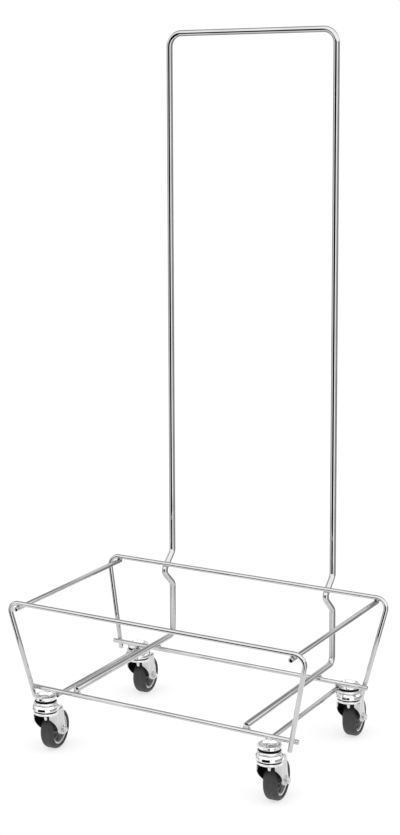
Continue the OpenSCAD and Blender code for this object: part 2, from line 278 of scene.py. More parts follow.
def add(tree, kind, inputs=None, **settings):
    """Adds a shader node; an input is a socket to link or a value to set."""
    node = tree.nodes.new("ShaderNode" + kind)
    for key, value in settings.items():
        setattr(node, key, value)
    for key, value in (inputs or {}).items():
        if isinstance(value, bpy.types.NodeSocket):
            tree.links.new(value, node.inputs[key])
        else:
            node.inputs[key].default_value = value
    return node


def calc(tree, operation, a, b):
    return add(tree, "Math", {0: a, 1: b}, operation=operation).outputs[0]


def ramp(tree, value, low, high, to_low, to_high):
    return add(tree, "MapRange", {"Value": value, "From Min": low, "From Max": high,
                                  "To Min": to_low, "To Max": to_high}).outputs["Result"]


def fade(tree, value, edge, width):
    """1 up to the edge and 0 past its width; both are in millimetres."""
    return ramp(tree, value, edge * MM, (edge + width) * MM, 1.0, 0.0)


def blend(tree, factor, a, b):
    return add(tree, "Mix", {"Factor": factor, 2: a, 3: b}, data_type="FLOAT").outputs[0]


def tone(tree, factor, a, b):
    return add(tree, "Mix", {"Factor": factor, 6: a, 7: b}, data_type="RGBA").outputs[2]


def grey(value, warm=0.0):
    return (value * (1 + warm), value, value * (1 - warm), 1)


def stretched(tree, coords, scale):
    return add(tree, "Mapping", {"Vector": coords, "Scale": scale}).outputs["Vector"]


def upwards(tree, coords):
    return add(tree, "SeparateXYZ", {0: coords}).outputs["Z"]


def off_axis(tree, coords):
    """Distance from the piece's own Z axis."""
    flat = stretched(tree, coords, (1, 1, 0))
    return add(tree, "VectorMath", {0: flat}, operation="LENGTH").outputs["Value"]


def speckle(tree, vector, scale, detail, rough=0.5):
    inputs = {"Vector": vector, "Scale": scale, "Detail": detail, "Roughness": rough}
    return add(tree, "TexNoise", inputs).outputs["Fac"]


def patchy(tree, spots, a, b, low=0.35, high=0.65):
    """Colour that drifts from a to b with the spots of a noise."""
    return tone(tree, ramp(tree, spots, low, high, 0, 1), a, b)


def haze(tree, spots, a, b):
    """Roughness that drifts from a to b with the spots of a noise."""
    return ramp(tree, spots, 0.3, 0.7, a, b)


def new_material(name):
    material = bpy.data.materials.new(name + "_look")
    material.use_nodes = True
    tree = material.node_tree
    shader = tree.nodes["Principled BSDF"]
    coords = add(tree, "Attribute", attribute_name="own").outputs["Vector"]
    return material, tree, shader, coords


def link(tree, shader, colour, rough, height, strength, distance):
    bump = add(tree, "Bump", {"Height": height, "Strength": strength, "Distance": distance})
    tree.links.new(colour, shader.inputs["Base Color"])
    tree.links.new(rough, shader.inputs["Roughness"])
    tree.links.new(bump.outputs["Normal"], shader.inputs["Normal"])


def plated_rod():
    """Chrome on drawn wire: faint marks along the rod, fine pits, and broad drifts of haze."""
    material, tree, shader, coords = new_material("rod_chrome")
    drawn = speckle(tree, stretched(tree, coords, (1, 1, 0.02)), 900, 3)
    drift = speckle(tree, stretched(tree, coords, (1, 1, 0.35)), 45, 4)
    pits = add(tree, "TexVoronoi", {"Vector": coords, "Scale": 420}).outputs["Distance"]
    colour = patchy(tree, drift, grey(0.55), grey(0.62, 0.006))
    rough = calc(tree, "ADD", haze(tree, drift, 0.01, 0.04), haze(tree, drawn, 0.0, 0.03))
    height = calc(tree, "SUBTRACT", drawn, ramp(tree, pits, 0.0, 0.08, 1.0, 0.0))
    shader.inputs["Metallic"].default_value = 1.0
    link(tree, shader, colour, rough, height, 0.03, 0.000002)
    return material


def plated_weld():
    """Chrome over weld: duller, with fine spatter."""
    material, tree, shader, coords = new_material("weld_chrome")
    grain = speckle(tree, coords, 1400, 4, 0.6)
    drift = speckle(tree, coords, 260, 2)
    colour = patchy(tree, drift, grey(0.52), grey(0.70))
    shader.inputs["Metallic"].default_value = 1.0
    link(tree, shader, colour, haze(tree, drift, 0.16, 0.34), grain, 0.35, 0.00008)
    return material


def painted_fork_shade(tree, coords):
    """Mask of the painted shade: the fork's inside, under the crown, and the groove between the crown and the
    race.
    """
    place = add(tree, "SeparateXYZ", {0: coords})
    high, radius = place.outputs["Z"], off_axis(tree, coords)
    across = add(tree, "Math", {0: place.outputs["X"]}, operation="ABSOLUTE").outputs[0]
    legs = fade(tree, across, FORK_IN + 0.1, 0.2)
    skirt = fade(tree, radius, WALL_R + 0.2, 0.3)
    inside = calc(tree, "MULTIPLY", fade(tree, high, CROWN_LOW, 0.4), calc(tree, "MAXIMUM", legs, skirt))
    above = ramp(tree, high, (CROWN_TOP - 0.1) * MM, CROWN_TOP * MM, 0.0, 1.0)
    level = calc(tree, "MULTIPLY", above, fade(tree, high, GROOVE_Z + 0.2, 0.3))
    groove = calc(tree, "MULTIPLY", level, fade(tree, radius, CROWN_R - 1.8, 0.4))
    return calc(tree, "MAXIMUM", inside, groove)


def plated_pressing():
    """Chrome on pressed steel: dents from the die, hairline polish marks and scuffs; darker on the legs;
    near-black painted shade inside the fork and in the groove over the crown.
    """
    material, tree, shader, coords = new_material("caster_chrome")
    dents = speckle(tree, coords, 130, 2, 0.35)
    hair = speckle(tree, stretched(tree, coords, (1, 1, 0.06)), 1600, 2)
    scuffs = speckle(tree, coords, 60, 6, 0.65)
    # the legs, below the crown, get a darker tone than the crown, the races and the cup
    raised = ramp(tree, upwards(tree, coords), (CROWN_LOW - 2) * MM, CROWN_LOW * MM, 0.0, 1.0)
    legs = patchy(tree, scuffs, grey(0.56), grey(0.64))
    plating = tone(tree, raised, legs, patchy(tree, scuffs, grey(0.80), grey(0.88)))
    # painted shade: the fork's inside and the groove between the crown and the race are painted near black
    dark = painted_fork_shade(tree, coords)
    colour = tone(tree, dark, plating, patchy(tree, scuffs, grey(0.012), grey(0.03)))
    rough = blend(tree, dark, ramp(tree, scuffs, 0.3, 0.72, 0.03, 0.09), 0.5)
    height = calc(tree, "ADD", dents, ramp(tree, hair, 0, 1, 0, 0.04))
    shader.inputs["Metallic"].default_value = 1.0
    link(tree, shader, colour, rough, height, 0.15, 0.00010)
    return material


def rivet_painted_shade(tree, coords):
    """Mask of the painted shade in the rivet head's dimple, in its four staked dots and round its edge."""
    flat, radius = stretched(tree, coords, (1, 1, 0)), off_axis(tree, coords)
    nearest = radius
    for k in range(4):
        spot = polar(DOT_PLACE * MM, DOT_TURN + math.pi / 2 * k)
        away = add(tree, "VectorMath", {0: flat, 1: spot}, operation="DISTANCE").outputs["Value"]
        nearest = calc(tree, "MINIMUM", nearest, away)
    dots = fade(tree, nearest, DOT_R - 0.1, 0.5)
    edge = ramp(tree, radius, (HEAD_R - 0.2) * MM, HEAD_R * MM, 0.0, 0.5)
    on_head = ramp(tree, upwards(tree, coords), (CUP_FLOOR - 1.9) * MM, (CUP_FLOOR - 1.4) * MM, 0.0, 1.0)
    return calc(tree, "MULTIPLY", on_head, calc(tree, "MAXIMUM", dots, edge))


def bright_hardware():
    """Zinc-plated bolt, nut and king pin: fine turned rings and a slightly cool tint."""
    material, tree, shader, coords = new_material("bright_hardware")
    cloud = speckle(tree, coords, 300, 4)
    turned = add(tree, "TexWave", {"Vector": coords, "Scale": 700, "Distortion": 1.5, "Detail": 1},
                 wave_type="RINGS", rings_direction="Z").outputs["Fac"]
    plating = patchy(tree, cloud, (0.46, 0.47, 0.49, 1), grey(0.86))
    # painted shade: the rivet head's dimple, dots and edge are painted near black
    colour = tone(tree, rivet_painted_shade(tree, coords), plating, grey(0.01))
    shader.inputs["Metallic"].default_value = 1.0
    link(tree, shader, colour, haze(tree, cloud, 0.06, 0.16), turned, 0.15, 0.00002)
    return material


def ball_steel():
    """Ground steel with a film of grease."""
    material, tree, shader, _ = new_material("ball_steel")
    film = speckle(tree, add(tree, "TexCoord").outputs["Object"], 500, 3)
    colour = tone(tree, film, grey(0.28, 0.05), grey(0.55))
    shader.inputs["Metallic"].default_value = 1.0
    link(tree, shader, colour, haze(tree, film, 0.1, 0.3), film, 0.05, 0.00002)
    return material


def seal_rubber():
    """Sealing ring painted near black as the shade in the gap between the cup and the race, with fine grain
    and a little dust.
    """
    material, tree, shader, coords = new_material("seal_rubber")
    grain = speckle(tree, coords, 2200, 3)
    dust = speckle(tree, coords, 190, 5, 0.6)
    # painted shade: the ring's near-black colour stands for the shaded gap under the cup
    colour = patchy(tree, dust, grey(0.002), grey(0.008), 0.45, 0.75)
    shader.inputs["Specular IOR Level"].default_value = 0.08
    link(tree, shader, colour, haze(tree, dust, 0.35, 0.55), grain, 0.25, 0.00004)
    return material


def core_plastic():
    """Dark moulded plastic: fine die grain, faint flow marks round the hub."""
    material, tree, shader, coords = new_material("core_plastic")
    grain = speckle(tree, coords, 1900, 3)
    flow = speckle(tree, stretched(tree, coords, (1, 1, 3)), 110, 4)
    colour = patchy(tree, flow, grey(0.10), grey(0.19))
    link(tree, shader, colour, haze(tree, flow, 0.3, 0.5), grain, 0.2, 0.00004)
    return material


def ring_plastic():
    """Pale trim ring with faint scuffs."""
    material, tree, shader, coords = new_material("ring_plastic")
    grain = speckle(tree, coords, 2000, 2)
    scuffs = speckle(tree, coords, 240, 5, 0.6)
    colour = patchy(tree, scuffs, grey(0.86), grey(0.72, 0.01), 0.35, 0.7)
    link(tree, shader, colour, haze(tree, scuffs, 0.28, 0.5), grain, 0.15, 0.00003)
    return material


def tyre_rubber():
    """Dark grey rubber: grain, scuffs running round the tread, and floor dust caught on the tread."""
    material, tree, shader, coords = new_material("tyre_rubber")
    grain = speckle(tree, coords, 1700, 3)
    patches = speckle(tree, coords, 90, 5, 0.6)
    radius = off_axis(tree, coords)
    rings = add(tree, "CombineXYZ", {"X": radius, "Z": upwards(tree, coords)}).outputs[0]
    scuffs = speckle(tree, rings, 520, 3)
    marks = ramp(tree, calc(tree, "MULTIPLY", scuffs, patches), 0.18, 0.36, 0.0, 1.0)
    dust = calc(tree, "MULTIPLY", marks, ramp(tree, radius, (WHEEL_R - 2.5) * MM, WHEEL_R * MM, 0.0, 1.0))
    colour = tone(tree, dust, patchy(tree, patches, grey(0.017), grey(0.026)), grey(0.040, 0.02))
    rough = calc(tree, "ADD", haze(tree, patches, 0.42, 0.56), ramp(tree, dust, 0, 1, 0.0, 0.12))
    link(tree, shader, colour, rough, calc(tree, "ADD", grain, scuffs), 0.3, 0.00006)
    return material


MATERIALS = {
    "rod_chrome": plated_rod(), "weld_chrome": plated_weld(), "caster_chrome": plated_pressing(),
    "bright_hardware": bright_hardware(), "ball_steel": ball_steel(), "seal_rubber": seal_rubber(),
    "core_plastic": core_plastic(), "ring_plastic": ring_plastic(), "tyre_rubber": tyre_rubber(),
}

# ---------------------------------------------------------------- pieces


def piece(node, part, body, slot, sharp=32):
    """Makes the visible piece that stands for a CAD node."""
    points, own, faces = part
    name = node + "_look"
    mesh = bpy.data.meshes.new(name)
    mesh.from_pydata([p * MM for p in points], [], faces)
    attribute = mesh.attributes.new("own", "FLOAT_VECTOR", "POINT")
    attribute.data.foreach_set("vector", [c * MM for p in own for c in p])
    work = bmesh.new()
    work.from_mesh(mesh)
    bmesh.ops.recalc_face_normals(work, faces=work.faces)
    work.to_mesh(mesh)
    work.free()
    mesh.polygons.foreach_set("use_smooth", [True] * len(mesh.polygons))
    mesh.set_sharp_from_angle(angle=math.radians(sharp))
    mesh.materials.append(MATERIALS[slot])
    obj = bpy.data.objects.new(name, mesh)
    bpy.context.scene.collection.objects.link(obj)
    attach(obj, body)
    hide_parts(node)


def at(x, y, z):
    """Point given from the middle of the basket."""
    return Vector((x, y + MID_Y, z))


# ---- Rods


def hoop():
    """Hoop rod: foot, upright with a kink that touches the rear rim, top bar, and down again alike."""
    tip_reach = KINK_BEND + ROD_R + HOOP_R + 0.05
    kink_y = RIM_Y + math.sqrt(tip_reach ** 2 - KINK_DROP ** 2) - KINK_BEND / math.cos(KINK_ANGLE)
    kink_z = RIM_Z - KINK_DROP
    kink_h = (HOOP_Y - kink_y) / math.tan(KINK_ANGLE)
    half = [(-RAIL_Y, FOOT_Z), (HOOP_Y, FOOT_Z), (HOOP_Y, kink_z - kink_h), (kink_y, kink_z),
            (HOOP_Y, kink_z + kink_h), (HOOP_Y, HOOP_Z)]
    bends = [FOOT_BEND, KINK_BEND, KINK_BEND, KINK_BEND, HOOP_BEND]
    corners = [at(HOOP_HALF, y, z) for y, z in half] + [at(-HOOP_HALF, y, z) for y, z in reversed(half)]
    return rod(bent_line(corners, bends + bends[::-1]), HOOP_R, 40)


def frame_rod(side):
    """Rim and two sloping legs of the front (-1) or the rear (1), in one bent rod."""
    fall = (RIM_Z - LEG_END_Z) / (RIM_Z - RAIL_Z)
    foot_x = RIM_HALF + (LEG_X - RIM_HALF) * fall
    foot_y = RIM_Y + (LEG_Y - RIM_Y) * fall
    corners = [at(-foot_x, side * foot_y, LEG_END_Z), at(-RIM_HALF, side * RIM_Y, RIM_Z),
               at(RIM_HALF, side * RIM_Y, RIM_Z), at(foot_x, side * foot_y, LEG_END_Z)]
    return rod(bent_line(corners, [RIM_BEND, RIM_BEND]), ROD_R)


def straight_rod(a, b):
    return rod(bent_line([a, b], []), ROD_R)


piece("hanger_hoop", hoop(), "frame", "rod_chrome")
piece("front_frame_rod", frame_rod(-1), "frame", "rod_chrome")
piece("rear_frame_rod", frame_rod(1), "frame", "rod_chrome")
for word, sx in (("left", -1), ("right", 1)):
    END_Z = RIM_Z - 2 * ROD_R
    piece(word + "_end_rod", straight_rod(at(sx * END_ROD_X, -RIM_Y - END_ROD_FRONT, END_Z),
                                          at(sx * END_ROD_X, RIM_Y + ROD_R, END_Z)), "frame", "rod_chrome")
    piece(word + "_caster_bar", straight_rod(at(sx * BAR_X, -RAIL_Y, BAR_Z), at(sx * BAR_X, RAIL_Y, BAR_Z)),
          "frame", "rod_chrome")
for word, sy in (("front", -1), ("rear", 1)):
    piece(word + "_lower_rail", straight_rod(at(-RAIL_HALF, sy * RAIL_Y, RAIL_Z),
                                             at(RAIL_HALF, sy * RAIL_Y, RAIL_Z)), "frame", "rod_chrome")

# ---- Welds


def crook(centre, along, out, length, radius, seed):
    """Bead along a crossing: it lies at centre, runs along one rod and leans towards out."""
    a = centre - along * length / 2
    b = centre + along * length / 2
    return bead([a, centre + out * radius * 0.25, b], radius, seed)


def welds():
    x_way, y_way, z_way = Vector((1, 0, 0)), Vector((0, 1, 0)), Vector((0, 0, 1))
    beads, seed = [], 0
    for sx in (-1, 1):
        for side in (-1, 1):
            foot = sx * HOOP_HALF + side * 4.9
            for y, z in ((-RAIL_Y + 3.4, FOOT_Z - HOOP_R + 0.3), (RAIL_Y + 3.4, FOOT_Z - HOOP_R + 0.3),
                         (RAIL_Y - 3.4, FOOT_Z - HOOP_R + 0.3)):
                seed += 1
                beads.append(crook(at(foot, y, z), x_way, y_way, 7.5, 2.3, seed))
        for sy in (-1, 1):
            for side in (-1, 1):
                seed += 3
                bar = at(sx * BAR_X + side * 4.1, sy * (RAIL_Y - 2.4), CUP_TOP - 0.3)
                beads.append(crook(bar, y_way, x_way * side, 6.5, 2.2, seed))
                cup = at(sx * CASTER_X + side * 9, sy * (RAIL_Y + 2.6), CUP_TOP + 0.4)
                beads.append(crook(cup, x_way, y_way * sy, 11, 2.3, seed + 1))
                leg = at(sx * LEG_X + side * 3.6, sy * (RAIL_Y + ROD_R), RAIL_Z + side * 0.5)
                beads.append(crook(leg, z_way, x_way * side, 7, 1.9, seed + 2))
                rim = at(sx * END_ROD_X + side * 3.2, sy * RIM_Y, RIM_Z - ROD_R)
                beads.append(crook(rim, y_way, x_way * side, 6.5, 1.8, seed + 4))
            kink = at(sx * HOOP_HALF + sy * 3.6, RIM_Y + 4.0, RIM_Z - 3.8)
            beads.append(crook(kink, x_way, z_way, 5.5, 1.8, seed + 5))
    return merged(*beads)


piece("weld_beads", welds(), "frame", "weld_chrome", sharp=60)

# ---- Casters


def dome(radius, height, base, steps=22, dimple=1.3):
    """Profile of a rivet head with a small dimple in the middle, from the rim inwards."""
    ball = (radius ** 2 + height ** 2) / (2 * height)
    points = []
    for k in range(steps + 1):
        r = radius + (dimple - radius) * k / steps
        points.append((r, base + height - ball + math.sqrt(ball ** 2 - r ** 2)))
    top = points[-1][1]
    return points + [(dimple * 0.75, top - 0.5), (dimple * 0.4, top - 0.9), (0, top - 1.0)]


def king_pin():
    """Riveted pin: tapered stud under the crown, shank, and a domed head with a dimple and four dots."""
    top = CROWN_LOW - 0.4
    stud = [(0, 0.5), (1.0, 0.4), (1.7, 0), (2.4, 0), (3.0, 0.6), (4.2, 6), (4.5, 6.3)]
    side = [(r, STUD_LOW + z) for r, z in stud] + [(6.3, top - 0.6), (6.5, top), (KING_R, top)]
    side += [(KING_R, CUP_FLOOR), (HEAD_R - 0.1, CUP_FLOOR), (HEAD_R + 0.1, CUP_FLOOR + 0.2)]
    side += dome(HEAD_R, 1.5, CUP_FLOOR + 0.35)
    points, _, faces = lathe(side, around=120, loop=False)
    for p in points:
        for k in range(4):
            away = (p.xy - polar(DOT_PLACE, DOT_TURN + math.pi / 2 * k).xy).length / DOT_R
            if p.z > CUP_FLOOR + 0.3 and away < 1:
                p.z -= 0.9 * (1 - away ** 2) ** 2
    return points, points, faces


def cup():
    """Dished pressing: rolled rim over a round bowl."""
    z, top = CUP_LOW, CUP_TOP
    return lathe(profile([
        (KING_R, z, 0), (CUP_R - 4.5, z, 1.5), (CUP_R, z + 2.4, 1.2), (CUP_R - 0.2, z + 4, 0.8),
        (CUP_R - 0.2, top, 1.3), (CUP_R - 3.1, top, 1.3), (CUP_R - 4.4, CUP_FLOOR + 4.2, 3.0),
        (CUP_R - 6.6, CUP_FLOOR + 2.2, 3.0), (CUP_R - 9.5, CUP_FLOOR + 0.8, 4.0),
        (CUP_R - 12.5, CUP_FLOOR + 0.1, 1.0), (KING_R, CUP_FLOOR + 0.1, 0)], step=math.radians(6)))


def seal():
    """Rubber ring under the cup, with a fine groove round its middle."""
    r = CUP_R - 1.2
    return lathe(profile([(KING_R, SEAL_LOW, 0), (r, SEAL_LOW, 0.7), (r, SEAL_LOW + 1.25, 0.2),
                          (r - 0.5, SEAL_LOW + 1.4, 0.1), (r, SEAL_LOW + 1.55, 0.2), (r, CUP_LOW, 0.7),
                          (KING_R, CUP_LOW, 0)]))


def upper_race():
    """Ring above the balls, grooved for them below."""
    low = UPPER_LOW
    return lathe(profile([
        (KING_R, low + 1.4, 0), (13, low + 1.4, 0.3), (14.2, low + 2.2, 0.5), (19.8, low + 2.2, 0.5),
        (20.6, low, 0.3), (22.4, low, 0.5), (23.6, low + 1, 0.8), (24, low + 2.4, 1.2),
        (23.4, SEAL_LOW - 0.9, 0.6), (22, SEAL_LOW, 0.4), (KING_R, SEAL_LOW, 0)]))


def lower_race():
    """Ring below the balls: it tapers slightly upwards, and its neck leaves a groove over the crown."""
    z, top = GROOVE_Z, LOWER_TOP
    return lathe(profile([
        (12, CROWN_TOP, 0), (20.5, CROWN_TOP, 0.2), (20.5, z + 0.4, 0.3), (25.0, z + 0.4, 0.8),
        (RACE_R, z + 2.6, 2.0), (RACE_R - 1.3, z + 8.4, 2.0), (RACE_R - 4, top - 0.4, 1.0), (21.5, top, 0.4),
        (20.6, top - 1.8, 0.5), (13.6, top - 1.8, 0.5), (12, top - 0.6, 0.3)],
        step=math.radians(9)), around=96)


def tangent_point(p, centre, radius, side):
    """Where the line from p touches a circle: its right side for side 1, its left for -1."""
    d = centre - p
    a = math.atan2(d.y, d.x) + side * math.asin(radius / d.length)
    return p + Vector((math.cos(a), math.sin(a), 0)) * math.sqrt(d.length ** 2 - radius ** 2)


def fork_edges(trail):
    """Lower and upper edge of a fork leg, as functions of the distance behind the swivel axis."""
    axle = Vector((trail, WHEEL_R, 0))
    toe, brow = Vector((trail - 15.5, WHEEL_R - 4.5, 0)), Vector((-19.5, CROWN_LOW - 2, 0))
    heel = tangent_point(toe, axle, AXLE_END_R, -1)
    corner = Vector((SHOULDER_BACK, SHOULDER_TOP - 3, 0))
    touch = tangent_point(corner, axle, AXLE_END_R, 1)

    def low(y):
        if y < toe.x:
            return brow.y + (toe.y - brow.y) * (y - brow.x) / (toe.x - brow.x)
        if y < heel.x:
            return toe.y + (heel.y - toe.y) * (y - toe.x) / (heel.x - toe.x)
        return WHEEL_R - math.sqrt(max(0.0, AXLE_END_R ** 2 - (y - trail) ** 2))

    def high(y):
        if y < 20.5:
            return CROWN_TOP - 0.2
        if y < corner.x - 3:
            return SHOULDER_TOP - 0.1
        if y < corner.x:
            return corner.y - 0.1 + math.sqrt(9 - (y - corner.x + 3) ** 2)
        if y < touch.x:
            return corner.y + (touch.y - corner.y) * (y - corner.x) / (touch.x - corner.x)
        return WHEEL_R + math.sqrt(max(0.0, AXLE_END_R ** 2 - (y - trail) ** 2))

    return low, high


def wall_point(side, y, out):
    """Point on the fork's wall, out millimetres outside its inner face."""
    if y < math.sqrt(WALL_R ** 2 - FORK_IN ** 2):
        way = Vector((side * math.sqrt(WALL_R ** 2 - y ** 2), y, 0)) / WALL_R
        return way * (WALL_R + out)
    return Vector((side * (FORK_IN + out), y, 0))


def wall(side, trail):
    """One wall of the fork: round under the crown, flat along the leg."""
    low, high = fork_edges(trail)
    thick, ease = FORK_OUT - FORK_IN, 0.6
    last = trail + AXLE_END_R
    places = [-19 + 1.5 * k for k in range(26)] + [19.9, 20.6]
    places += [SHOULDER_BACK - 3 + 3 * math.sin(math.pi / 2 * k / 5) for k in range(6)]
    places += [last - AXLE_END_R * (1 - math.sin(math.pi / 2 * k / 16)) for k in range(1, 17)]
    rings = []
    for y in sorted(set(round(place, 3) for place in places)):
        z0, z1 = low(y), high(y)
        edge = min(ease, (z1 - z0) * 0.3)
        section = [(0, z0 + edge), (edge * 0.3, z0 + edge * 0.3), (edge, z0), (thick - edge, z0),
                   (thick - edge * 0.3, z0 + edge * 0.3), (thick, z0 + edge), (thick, z1 - edge),
                   (thick - edge * 0.3, z1 - edge * 0.3), (thick - edge, z1), (edge, z1),
                   (edge * 0.3, z1 - edge * 0.3), (0, z1 - edge)]
        rings.append([wall_point(side, y, out) + Vector((0, 0, z)) for out, z in section])
    points, _, faces = skin(rings)
    count = len(rings[0])
    faces += [tuple(reversed(range(count))), tuple(range(len(points) - count, len(points)))]
    return shape(points, faces)


def smoothed(points, count=5):
    """Catmull-Rom curve through points."""
    ends = [points[0] * 2 - points[1]] + points + [points[-1] * 2 - points[-2]]
    curve = []
    for a, b, c, d in zip(ends, ends[1:], ends[2:], ends[3:]):
        for k in range(count):
            t = k / count
            curve.append((b * 2 + (c - a) * t + (a * 2 - b * 5 + c * 4 - d) * t ** 2
                          + (b * 3 - a - c * 3 + d) * t ** 3) / 2)
    return curve + [points[-1]]


def lip(trail):
    """Rolled edge: up one leg's front, round the front of the crown and down the other leg."""
    low, _ = fork_edges(trail)
    middle_out = (FORK_OUT - FORK_IN) / 2
    leg = []
    for k in range(11):
        y = trail - 16.5 - (trail - 1.5) * k / 10
        leg.append(wall_point(1, y, middle_out) + Vector((0, 0, low(y) + 0.5)))
    r = CROWN_R - 1.5
    front = [math.radians(32 - 8 * k) for k in range(5)]
    half = leg + [Vector((r * math.sin(a), -r * math.cos(a), CROWN_LOW + 0.6)) for a in front]
    line = smoothed(half + [Vector((-p.x, p.y, p.z)) for p in reversed(half[:-1])])
    ways = [(line[min(i + 1, len(line) - 1)] - line[max(i - 1, 0)]).normalized() for i in range(len(line))]
    return rod(list(zip(line, ways)), 1.45, 16)


def fork(trail):
    """Pressed fork: two walls with a rolled edge, a round crown, and a square shoulder behind the race."""
    parts = [wall(-1, trail), wall(1, trail), lip(trail)]
    edge = CROWN_R + 0.15
    parts.append(lathe(profile([(KING_R, CROWN_LOW, 0), (edge, CROWN_LOW, 1.2), (edge, CROWN_TOP, 1.6),
                                (KING_R, CROWN_TOP, 0)]), around=96))
    flat = outline([(FORK_OUT, 12, 0.5), (FORK_OUT, SHOULDER_BACK, 3),
                    (-FORK_OUT, SHOULDER_BACK, 3), (-FORK_OUT, 12, 0.5)])
    parts.append(plate(flat, CROWN_LOW, CROWN_TOP, 0.9))
    ring = RACE_R + 0.4
    ends = math.asin((FORK_OUT - 0.2) / ring)
    plan = outline([(FORK_OUT, ring * math.cos(ends) + 0.2, 0.5), (FORK_OUT, SHOULDER_BACK, 4),
                    (-FORK_OUT, SHOULDER_BACK, 4), (-FORK_OUT, ring * math.cos(ends) + 0.2, 0.5)])
    turns = [ends * (k / 9 - 1) + 0.03 for k in range(1, 18)]
    inner = [Vector((ring * math.sin(a), ring * math.cos(a), 0)) for a in turns]
    parts.append(plate(plan + inner, CROWN_LOW, SHOULDER_TOP, 1.3))
    points, _, faces = merged(*parts)
    return points, points, faces


def hex_block(low, high, radius, chamfer=0.9):
    """Hexagon with its corners turned down to a circle at both ends."""
    rings, count = [], 60
    turned = [(0, radius - chamfer - 0.5), (chamfer * 0.4, radius - 0.4), (chamfer, radius)]
    levels = [(low + cut, limit) for cut, limit in turned]
    levels += [(high - cut, limit) for cut, limit in reversed(turned)]
    for z, limit in levels:
        ring = []
        for k in range(count):
            a = 2 * math.pi * k / count
            flat = radius * math.cos(math.pi / 6) / math.cos((a % (math.pi / 3)) - math.pi / 6)
            ring.append(Vector((math.cos(a), math.sin(a), 0)) * min(flat, limit) + Vector((0, 0, z)))
        rings.append(ring)
    return [[Vector((0, 0, low))]] + rings + [[Vector((0, 0, high))]]


def axle_bolt():
    """Hexagon bolt: chamfered head on a washer, shank, and threads showing beyond the nut."""
    head = hex_block(-FORK_OUT - 5, -FORK_OUT - 0.9, 7.5)
    washer = lathe(profile([(3.5, -FORK_OUT - 0.9, 0), (8.6, -FORK_OUT - 0.9, 0.3),
                            (8.6, -FORK_OUT, 0.3), (3.5, -FORK_OUT, 0)]))
    tip = FORK_OUT + 8
    shank = [(0, -FORK_OUT - 1), (4, -FORK_OUT - 1), (4, FORK_OUT + 4)]
    z = FORK_OUT + 4
    while z < tip - 1.2:
        shank += [(4.0, z + 0.12), (3.55, z + 0.5), (4.0, z + 0.88)]
        z += 1.0
    shank += [(3.9, tip - 0.9), (3.2, tip), (0, tip)]
    return merged(skin(head), washer, lathe(shank, around=40, loop=False))


def axle_nut():
    """Locking nut on a washer, with the round collar that holds its insert."""
    washer = lathe(profile([(4, FORK_OUT, 0), (8.8, FORK_OUT, 0.3),
                            (8.8, FORK_OUT + 1.1, 0.3), (4, FORK_OUT + 1.1, 0)]))
    block = hex_block(FORK_OUT + 1.1, FORK_OUT + 5.0, 7.5)
    collar = lathe(profile([(4.2, FORK_OUT + 4.4, 0), (6.3, FORK_OUT + 4.4, 0), (6.3, FORK_OUT + 6.2, 0.9),
                            (4.2, FORK_OUT + 6.2, 0.5)]), around=48)
    return merged(washer, skin(block), collar)


def wheel_core():
    """Moulded core: hub boss, web with eight ribs on each side, and the rim."""
    hub = lathe(profile([
        (6.55, -16.2, 0.4), (10.5, -16.2, 0.7), (11.6, -15, 0.5), (12.6, -6.0, 1.5), (23.6, -4.6, 2.0),
        (25.4, -CORE_HALF, 0.5), (TYRE_IN, -CORE_HALF, 0), (TYRE_IN, CORE_HALF, 0), (25.4, CORE_HALF, 0.5),
        (23.6, 4.6, 2.0), (12.6, 6.0, 1.5), (11.6, 15, 0.5), (10.5, 16.2, 0.7), (6.55, 16.2, 0.4)]))
    ribs = []
    for side in (-1, 1):
        for k in range(8):
            side_on = [Vector((x, y, 0)) for x, y in ((10.8, 4.5), (25.6, 4.5), (25.6, 8.6), (10.8, 12.6))]
            rib = plate(side_on, -0.9, 0.9, 0.4, steps=2)
            turn = Matrix.Rotation(math.pi / 4 * k, 4, "Z") @ Matrix.Diagonal((1, 1, side, 1))
            ribs.append(placed(rib, turn @ Matrix(((1, 0, 0, 0), (0, 0, -1, 0), (0, 1, 0, 0), (0, 0, 0, 1)))))
    return merged(hub, *ribs)


def rim_rings():
    """Pale ring on each side of the wheel, between the core and the tyre."""
    low, high = CORE_HALF, RING_HALF
    section = [(RING_IN, low, 0), (RING_IN, high - 0.1, 0.45), (29.2, high, 0.5),
               (RING_OUT, high - 0.4, 0.35), (RING_OUT, low, 0)]
    sides = [[(r, side * z, ease) for r, z, ease in section] for side in (-1, 1)]
    return merged(*[lathe(profile(corners), around=96) for corners in sides])


def tyre():
    """Round-shouldered tyre with a fine mould line round the tread and a shallow ring on each side wall."""
    flat = TYRE_HALF - TYRE_ROUND
    half = [(WHEEL_R, 0.55), (WHEEL_R, flat)]
    half += [(WHEEL_R - TYRE_ROUND + TYRE_ROUND * math.cos(a), flat + TYRE_ROUND * math.sin(a))
             for a in [math.pi / 2 * k / 9 for k in range(1, 8)]]
    half += [(33.4, TYRE_HALF - 0.35), (33.0, TYRE_HALF - 0.6), (32.6, TYRE_HALF - 0.4),
             (31.7, TYRE_HALF - 0.9), (RING_OUT + 0.1, TYRE_HALF - 2.4), (RING_OUT + 0.1, CORE_HALF),
             (TYRE_IN, CORE_HALF)]
    points = [(WHEEL_R - 0.12, 0)] + half
    points = [(r, -z) for r, z in reversed(half)] + points
    return lathe(points, around=128)


